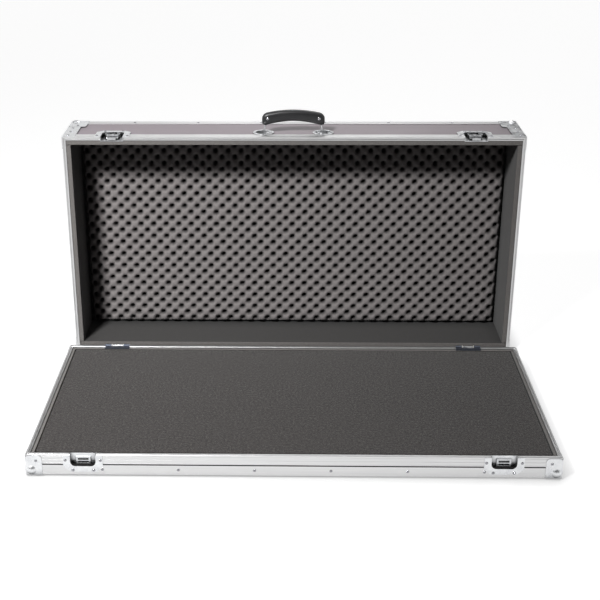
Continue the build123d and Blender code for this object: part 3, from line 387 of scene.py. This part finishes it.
for sx, side in BOTH_ENDS:
    for z in SIDE_ROWS:
        for point, away in (((sx * HALF_WIDTH, lid_back - LEG_LINE, z), (sx, 0, 0)),
                            ((sx * (HALF_WIDTH - LEG_LINE), lid_back, z), (0, 1, 0))):
            angles.append((f"lid_{side}_edge_angle", point, away))
rivets("lid_angle_rivets", "lid", angles)
plates = []
for sx in (-1, 1):
    for y in BRACE_ROWS:
        for point, away in (((sx * (HALF_WIDTH - LEG_LINE), y, lid_face), (0, 0, 1)),
                            ((sx * HALF_WIDTH, y, lid_face - LEG_LINE), (sx, 0, 0)),
                            ((sx * HALF_WIDTH, y, lid_foot + LEG_LINE), (sx, 0, 0))):
            plates.append(("lid_corner_braces", point, away))
    for point, away in (((sx * (HALF_WIDTH - FOOT_LINE), BALL_ROW, lid_face), (0, 0, 1)),
                        ((sx * HALF_WIDTH, BALL_ROW, lid_face - FOOT_LINE), (sx, 0, 0)),
                        ((sx * HALF_WIDTH, BALL_ROW, lid_foot + FOOT_LINE), (sx, 0, 0))):
        plates.append(("lid_ball_corners", point, away))
rivets("lid_corner_rivets", "lid", plates)

CUP_X, CUP_Y, CUP_RING = 0.0715, 0.28275, 0.0212    # middle of a handle cup, and its hole circle
PIN_X, PIN_UP = 0.0615, 0.0357                      # pins of the grip, and how high over the face
cups = [("handle_cups", (sx * CUP_X + dx, CUP_Y + dy, lid_face), (0, 0, 1)) for sx in (-1, 1)
        for dx, dy in ((-CUP_RING, 0), (CUP_RING, 0), (0, -CUP_RING), (0, CUP_RING))]
rivets("handle_cup_rivets", "lid", cups, domed_head(0.0022, 0.0009))
rivets("grip_pin_heads", "handle",
       [("moulded_grip", (sx * PIN_X, grip_front, lid_face + PIN_UP), (0, -1, 0))
        for sx in (-1, 1)],
       domed_head(0.0040, 0.0016))


# Joint lines. A black strip fills the narrow joint between rim and angle on each side of the
# base and ends under the corner plates: painted shade, standing in for the shade in that recess.
SHADE_STRIP_DEEP, SHADE_STRIP_TALL = 0.0014, 0.0025
CUT_BACK = 0.01                             # a strip stops this far short of the corner
SET_IN = 0.0002                             # its middle lies this far behind their faces
shade_strips = bmesh.new()
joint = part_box("base_front_rim")[0].z - 0.00075     # middle of the strip below the rims
middle_y = (back + front) / 2
along_front = (2 * (HALF_WIDTH - CUT_BACK), SHADE_STRIP_DEEP)
along_side = (SHADE_STRIP_DEEP, back - front - 2 * CUT_BACK)
for where, size in (((0, front + SET_IN), along_front), ((0, back - SET_IN), along_front),
                    ((SET_IN - HALF_WIDTH, middle_y), along_side),
                    ((HALF_WIDTH - SET_IN, middle_y), along_side)):
    cube = bmesh.ops.create_cube(shade_strips, size=1)["verts"]
    bmesh.ops.transform(shade_strips, verts=cube, matrix=Matrix.Translation((*where, joint))
                        @ Matrix.Diagonal((*size, SHADE_STRIP_TALL, 1)))
bmesh.ops.bevel(shade_strips, geom=shade_strips.edges[:], offset=0.0003, segments=2, profile=0.5,
                affect="EDGES", clamp_overlap=True, material=-1)
shade_strip = piece_of("painted_shade_joint_strips", shade_strips, shade_film)
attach(shade_strip, "base")


# Egg-crate foam. Grey polyurethane foam on the inside of the lid's top, cut on rollers to
# rows of broad tips and narrow pits, each row set half a pitch over.
def soft_foam(name, dark, light, size, cut_faces=None):
    """Open-cell foam: fine pores and a matt surface; where cut_faces names an axis, the skin is
    drawn far darker than the cut faces, as painted shade, and pits and corners get painted shade
    too.
    """
    material, tree, shader = finish(name, light, 0.0, 0.95)
    pores = grain(tree, (size, size, size), 3.0, 0.7)
    tone = ramp(tree, pores, [(0.32, dark), (0.62, light)])
    if cut_faces:
        place = tree.nodes.new("ShaderNodeTexCoord")
        axes = tree.nodes.new("ShaderNodeSeparateXYZ")
        cut = tree.nodes.new("ShaderNodeMath")
        cut.operation = "ABSOLUTE"
        skin_shade = tree.nodes.new("ShaderNodeMapRange")
        skin_shade.inputs["From Min"].default_value = 0.5
        skin_shade.inputs["To Min"].default_value = 0.28          # on the skin, painted shade
        skin_shade.inputs["To Max"].default_value = 1.4           # on a cut face
        shade = tree.nodes.new("ShaderNodeVectorMath")
        shade.operation = "SCALE"
        tree.links.new(place.outputs["Normal"], axes.inputs["Vector"])
        tree.links.new(axes.outputs[cut_faces], cut.inputs[0])
        tree.links.new(cut.outputs["Value"], skin_shade.inputs["Value"])
        tree.links.new(tone, shade.inputs[0])
        tree.links.new(skin_shade.outputs["Result"], shade.inputs["Scale"])
        tone = shade.outputs["Vector"]
    # painted shade: the foam darkens in its pits and in the corners of the lining
    tree.links.new(painted_shade_in_nooks(tree, tone, 0.05, 0.18), shader.inputs["Base Color"])
    shader.inputs["Sheen Weight"].default_value = 0.15
    shader.inputs["Sheen Roughness"].default_value = 0.6
    shader.inputs["Specular IOR Level"].default_value = 0.15
    relief(tree, shader, pores, 0.0006, 0.8)
    return material


egg_grey = soft_foam("egg_crate_grey", (0.165, 0.152, 0.150), (0.30, 0.276, 0.273), 700)
PITCH = 0.0322                              # tip to tip along a row
CELL = 0.0033                               # width of a face
EDGE = 0.009                                # the cut border sinks over this width
low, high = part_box("egg_crate_foam")
width, height, thick = high.x - low.x, high.z - low.z, high.y - low.y
columns, rows = round(width / CELL), round(height / CELL)
foam = bmesh.new()
bmesh.ops.create_grid(foam, x_segments=columns, y_segments=rows, size=0.5)
bmesh.ops.transform(foam, matrix=Matrix.Diagonal((width, height, 1, 1)), verts=foam.verts)
for v in foam.verts:
    wave = math.cos(math.tau * v.co.x / PITCH) * math.cos(math.tau * v.co.y / PITCH)
    edge = min(1.0, (width / 2 - abs(v.co.x)) / EDGE, (height / 2 - abs(v.co.y)) / EDGE)
    lift = 0.5 + 0.5 * wave
    lift = 0.87 + 0.13 * lift - 0.77 * (1 - lift) ** 5      # flattens tips, narrows pits
    v.co.z = lift * thick * (0.3 + 0.7 * max(0.0, edge))
border = [e for e in foam.edges if e.is_boundary]
skirt = bmesh.ops.extrude_edge_only(foam, edges=border)["geom"]
for v in [g for g in skirt if isinstance(g, bmesh.types.BMVert)]:
    v.co.z = 0.0
bmesh.ops.holes_fill(foam, edges=[e for e in foam.edges if e.is_boundary])
bmesh.ops.recalc_face_normals(foam, faces=foam.faces)
stand = Matrix.Translation(((low.x + high.x) / 2, high.y, (low.z + high.z) / 2))
bmesh.ops.transform(foam, matrix=stand @ Matrix.Rotation(math.pi / 2, 4, "X"), verts=foam.verts)
egg_crate = piece_of("egg_crate", foam, egg_grey, smooth=True)
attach(egg_crate, "lid")
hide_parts("egg_crate_foam")


# Lining strips. Flat closed foam glued to the inside of the walls, with a little give at its
# cut edges and pockets behind the fittings that are let into the front walls.
def lining(name, node, body, material, round_over):
    """Foam strips of a tray with softly rounded cut edges."""
    strips = bmesh.new()
    strips.from_mesh(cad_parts[node].data)
    bmesh.ops.remove_doubles(strips, verts=strips.verts, dist=1e-5)
    bmesh.ops.dissolve_limit(strips, angle_limit=0.02, verts=strips.verts, edges=strips.edges)
    sharp = [e for e in strips.edges if e.is_manifold and e.calc_face_angle() > 0.6]
    bmesh.ops.bevel(strips, geom=sharp, offset=round_over, segments=3, profile=0.5,
                    affect="EDGES", clamp_overlap=True, material=-1)
    piece = piece_of(name, strips, material)
    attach(piece, body)
    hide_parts(node)


SKIN_GREY, CUT_GREY = (0.085, 0.08, 0.076), (0.16, 0.151, 0.145)
lid_grey = soft_foam("lid_lining_grey", SKIN_GREY, CUT_GREY, 520, "Y")
base_grey = soft_foam("base_lining_grey", SKIN_GREY, CUT_GREY, 520, "Z")
lining("lid_lining", "lid_lining_foam", "lid", lid_grey, 0.0012)
lining("base_lining", "base_lining_foam", "base", base_grey, 0.001)


# Deck carpet. Short speckled pile in dark and light grey-brown, glued flat on the deck; it
# takes the hook tape of the pedals.
pile, tree, shader = finish("speckled_pile", (0.10, 0.09, 0.083), 0.0, 1.0)
tint(tree, shader, grain(tree, (190, 190, 190), 6.0, 0.85),
     [(0.36, (0.006, 0.005, 0.005)), (0.50, (0.037, 0.032, 0.030)), (0.64, (0.12, 0.109, 0.103))])
shader.inputs["Sheen Weight"].default_value = 0.3
shader.inputs["Sheen Roughness"].default_value = 0.5
shader.inputs["Specular IOR Level"].default_value = 0.1
relief(tree, shader, grain(tree, (650, 650, 650), 4.0, 0.75), 0.0012, 0.9)
low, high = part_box("deck_carpet")
carpet = bmesh.new()
bmesh.ops.create_cube(carpet, size=1)
bmesh.ops.transform(carpet, verts=carpet.verts, matrix=Matrix.Translation((low + high) / 2)
                    @ Matrix.Diagonal((*(high - low), 1)))
bmesh.ops.bevel(carpet, geom=carpet.edges[:], offset=0.0012, segments=3, profile=0.5,
                affect="EDGES", clamp_overlap=True, material=-1)
speckled = piece_of("speckled_carpet", carpet, pile)
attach(speckled, "base")
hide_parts("deck_carpet")


# Studio floor. A pale floor that runs out of view. To the eye, and in metal, it glows white
# all over; near the case the glow is dimmed as a painted contact shadow, and it keeps its real
# shadow.
floor_paint, tree, shader = finish("studio_floor", (0.32, 0.32, 0.32), 0.0, 0.9)
ray = tree.nodes.new("ShaderNodeLightPath")
glow = tree.nodes.new("ShaderNodeEmission")
glow.inputs["Strength"].default_value = 0.90
join = tree.nodes.new("ShaderNodeAddShader")
mix = tree.nodes.new("ShaderNodeMixShader")
# painted contact shadow: the glow dims where ambient occlusion finds the case near
nook = tree.nodes.new("ShaderNodeAmbientOcclusion")
nook.inputs["Distance"].default_value = 0.045
deeper = tree.nodes.new("ShaderNodeMath")
deeper.operation = "POWER"
deeper.inputs[1].default_value = 1.9
tree.links.new(nook.outputs["AO"], deeper.inputs[0])
soften = tree.nodes.new("ShaderNodeMapRange")
soften.inputs["To Min"].default_value = 0.38
tree.links.new(deeper.outputs["Value"], soften.inputs["Value"])
tree.links.new(soften.outputs["Result"], glow.inputs["Color"])
tree.links.new(shader.outputs["BSDF"], join.inputs[0])
tree.links.new(glow.outputs["Emission"], join.inputs[1])
seen = tree.nodes.new("ShaderNodeMath")
seen.operation = "MULTIPLY_ADD"                 # all of the glow to the eye, less in metal
seen.inputs[1].default_value = 0.85
tree.links.new(ray.outputs["Is Glossy Ray"], seen.inputs[0])
tree.links.new(ray.outputs["Is Camera Ray"], seen.inputs[2])
tree.links.new(seen.outputs["Value"], mix.inputs["Fac"])
tree.links.new(shader.outputs["BSDF"], mix.inputs[1])
tree.links.new(join.outputs["Shader"], mix.inputs[2])
tree.links.new(mix.outputs["Shader"], tree.nodes["Material Output"].inputs["Surface"])
floor = bmesh.new()
bmesh.ops.create_grid(floor, x_segments=1, y_segments=1, size=30)
ground = piece_of("studio_floor", floor, floor_paint)


# Surround. A weak even light that the eye, metal and clear pieces see as white; it is dark
# towards the viewer, so that the metal's front faces have something dark to mirror.
world = bpy.data.worlds.new("surround")
bpy.context.scene.world = world
world.use_nodes = True
tree = world.node_tree
surround = tree.nodes["Background"]
ray = tree.nodes.new("ShaderNodeLightPath")
eye_or_metal = tree.nodes.new("ShaderNodeMath")
eye_or_metal.operation = "MAXIMUM"
white_ray = tree.nodes.new("ShaderNodeMath")
white_ray.operation = "MAXIMUM"
level = tree.nodes.new("ShaderNodeMapRange")
level.inputs["To Min"].default_value = 0.055
level.inputs["To Max"].default_value = 1.0
tree.links.new(ray.outputs["Is Camera Ray"], eye_or_metal.inputs[0])
tree.links.new(ray.outputs["Is Glossy Ray"], eye_or_metal.inputs[1])
tree.links.new(eye_or_metal.outputs["Value"], white_ray.inputs[0])
tree.links.new(ray.outputs["Is Transmission Ray"], white_ray.inputs[1])
tree.links.new(white_ray.outputs["Value"], level.inputs["Value"])
compass = tree.nodes.new("ShaderNodeTexCoord")
axes = tree.nodes.new("ShaderNodeSeparateXYZ")
dark_end = tree.nodes.new("ShaderNodeMapRange")
dark_end.inputs["From Min"].default_value = -0.80
dark_end.inputs["From Max"].default_value = -0.50
dark_end.inputs["To Min"].default_value = 0.08
dimmed = tree.nodes.new("ShaderNodeMath")
dimmed.operation = "MULTIPLY"
tree.links.new(compass.outputs["Generated"], axes.inputs["Vector"])
tree.links.new(axes.outputs["Y"], dark_end.inputs["Value"])
tree.links.new(level.outputs["Result"], dimmed.inputs[0])
tree.links.new(dark_end.outputs["Result"], dimmed.inputs[1])
tree.links.new(dimmed.outputs["Value"], surround.inputs["Strength"])
surround.inputs["Color"].default_value = (1, 1, 1, 1)


# Flags. Two grey cards hang behind the case and above the view, so that its upward faces
# don't mirror only white. They throw no shadow, and the eye doesn't see them.
flag_grey, tree, shader = finish("studio_flag", (0.80, 0.80, 0.80), 0.0, 0.9)
tint(tree, shader, grain(tree, (3, 3, 3), 2.0),
     [(0.3, (0.78, 0.78, 0.78)), (0.7, (0.84, 0.84, 0.84))])
FLAG_Y = 2.2
card = bmesh.new()
for x, z, wide, tall in ((1.35, 1.75, 2.9, 1.9), (-1.6, 2.2, 3.0, 1.5)):
    sheet = bmesh.ops.create_grid(card, x_segments=1, y_segments=1, size=0.5)["verts"]
    hung = Matrix.Translation((x, FLAG_Y, z)) @ Matrix.Rotation(math.pi / 2, 4, "X")
    bmesh.ops.transform(card, verts=sheet, matrix=hung @ Matrix.Diagonal((wide, tall, 1, 1)))
flag = piece_of("studio_flag", card, flag_grey)
flag.visible_camera = False
flag.visible_shadow = False


# Lamps. One soft box high on the left in front gives the light, and a weaker one high behind
# lights the upward faces.
def soft_lamp(name, where, aim, size, power, spread):
    """A square soft box turned to its aim; a grid narrows its spread."""
    lamp = bpy.data.lights.new(name, "AREA")
    lamp.spread = math.radians(spread)
    lamp.size = size
    lamp.energy = power
    box = bpy.data.objects.new(name, lamp)
    box.location = where
    box.rotation_euler = (Vector(where) - Vector(aim)).to_track_quat("Z", "Y").to_euler()
    bpy.context.collection.objects.link(box)


soft_lamp("key", (-1.34, -2.0, 2.52), (-0.45, 0.1, 0.12), 0.5, 22, 70)
soft_lamp("rear", (0.3, 2.1, 2.0), (0.05, 0.3, 0.5), 1.0, 4.5, 90)


# Camera. It looks down a little at the front of the case, and its shifts put the lens's axis
# off the middle of the view.
eye = bpy.data.cameras.new("eye")
eye.lens = 71.633
eye.shift_x = 0.06558
eye.shift_y = 0.04796
camera = bpy.data.objects.new("eye", eye)
yaw, pitch, roll = (math.radians(a) for a in (-1.3646, 23.3057, -0.2855))
ahead = Vector((math.sin(yaw) * math.cos(pitch), math.cos(yaw) * math.cos(pitch),
                -math.sin(pitch)))
level_right = Vector((math.cos(yaw), -math.sin(yaw), 0))
level_up = level_right.cross(ahead)
right = level_right * math.cos(roll) + level_up * math.sin(roll)
up = level_up * math.cos(roll) - level_right * math.sin(roll)
turn = Matrix((right, up, -ahead)).transposed()
camera.matrix_world = Matrix.Translation((-0.01359, -2.53679, 1.25694)) @ turn.to_4x4()
bpy.context.collection.objects.link(camera)
bpy.context.scene.camera = camera
bpy.context.scene.view_settings.view_transform = "Standard"
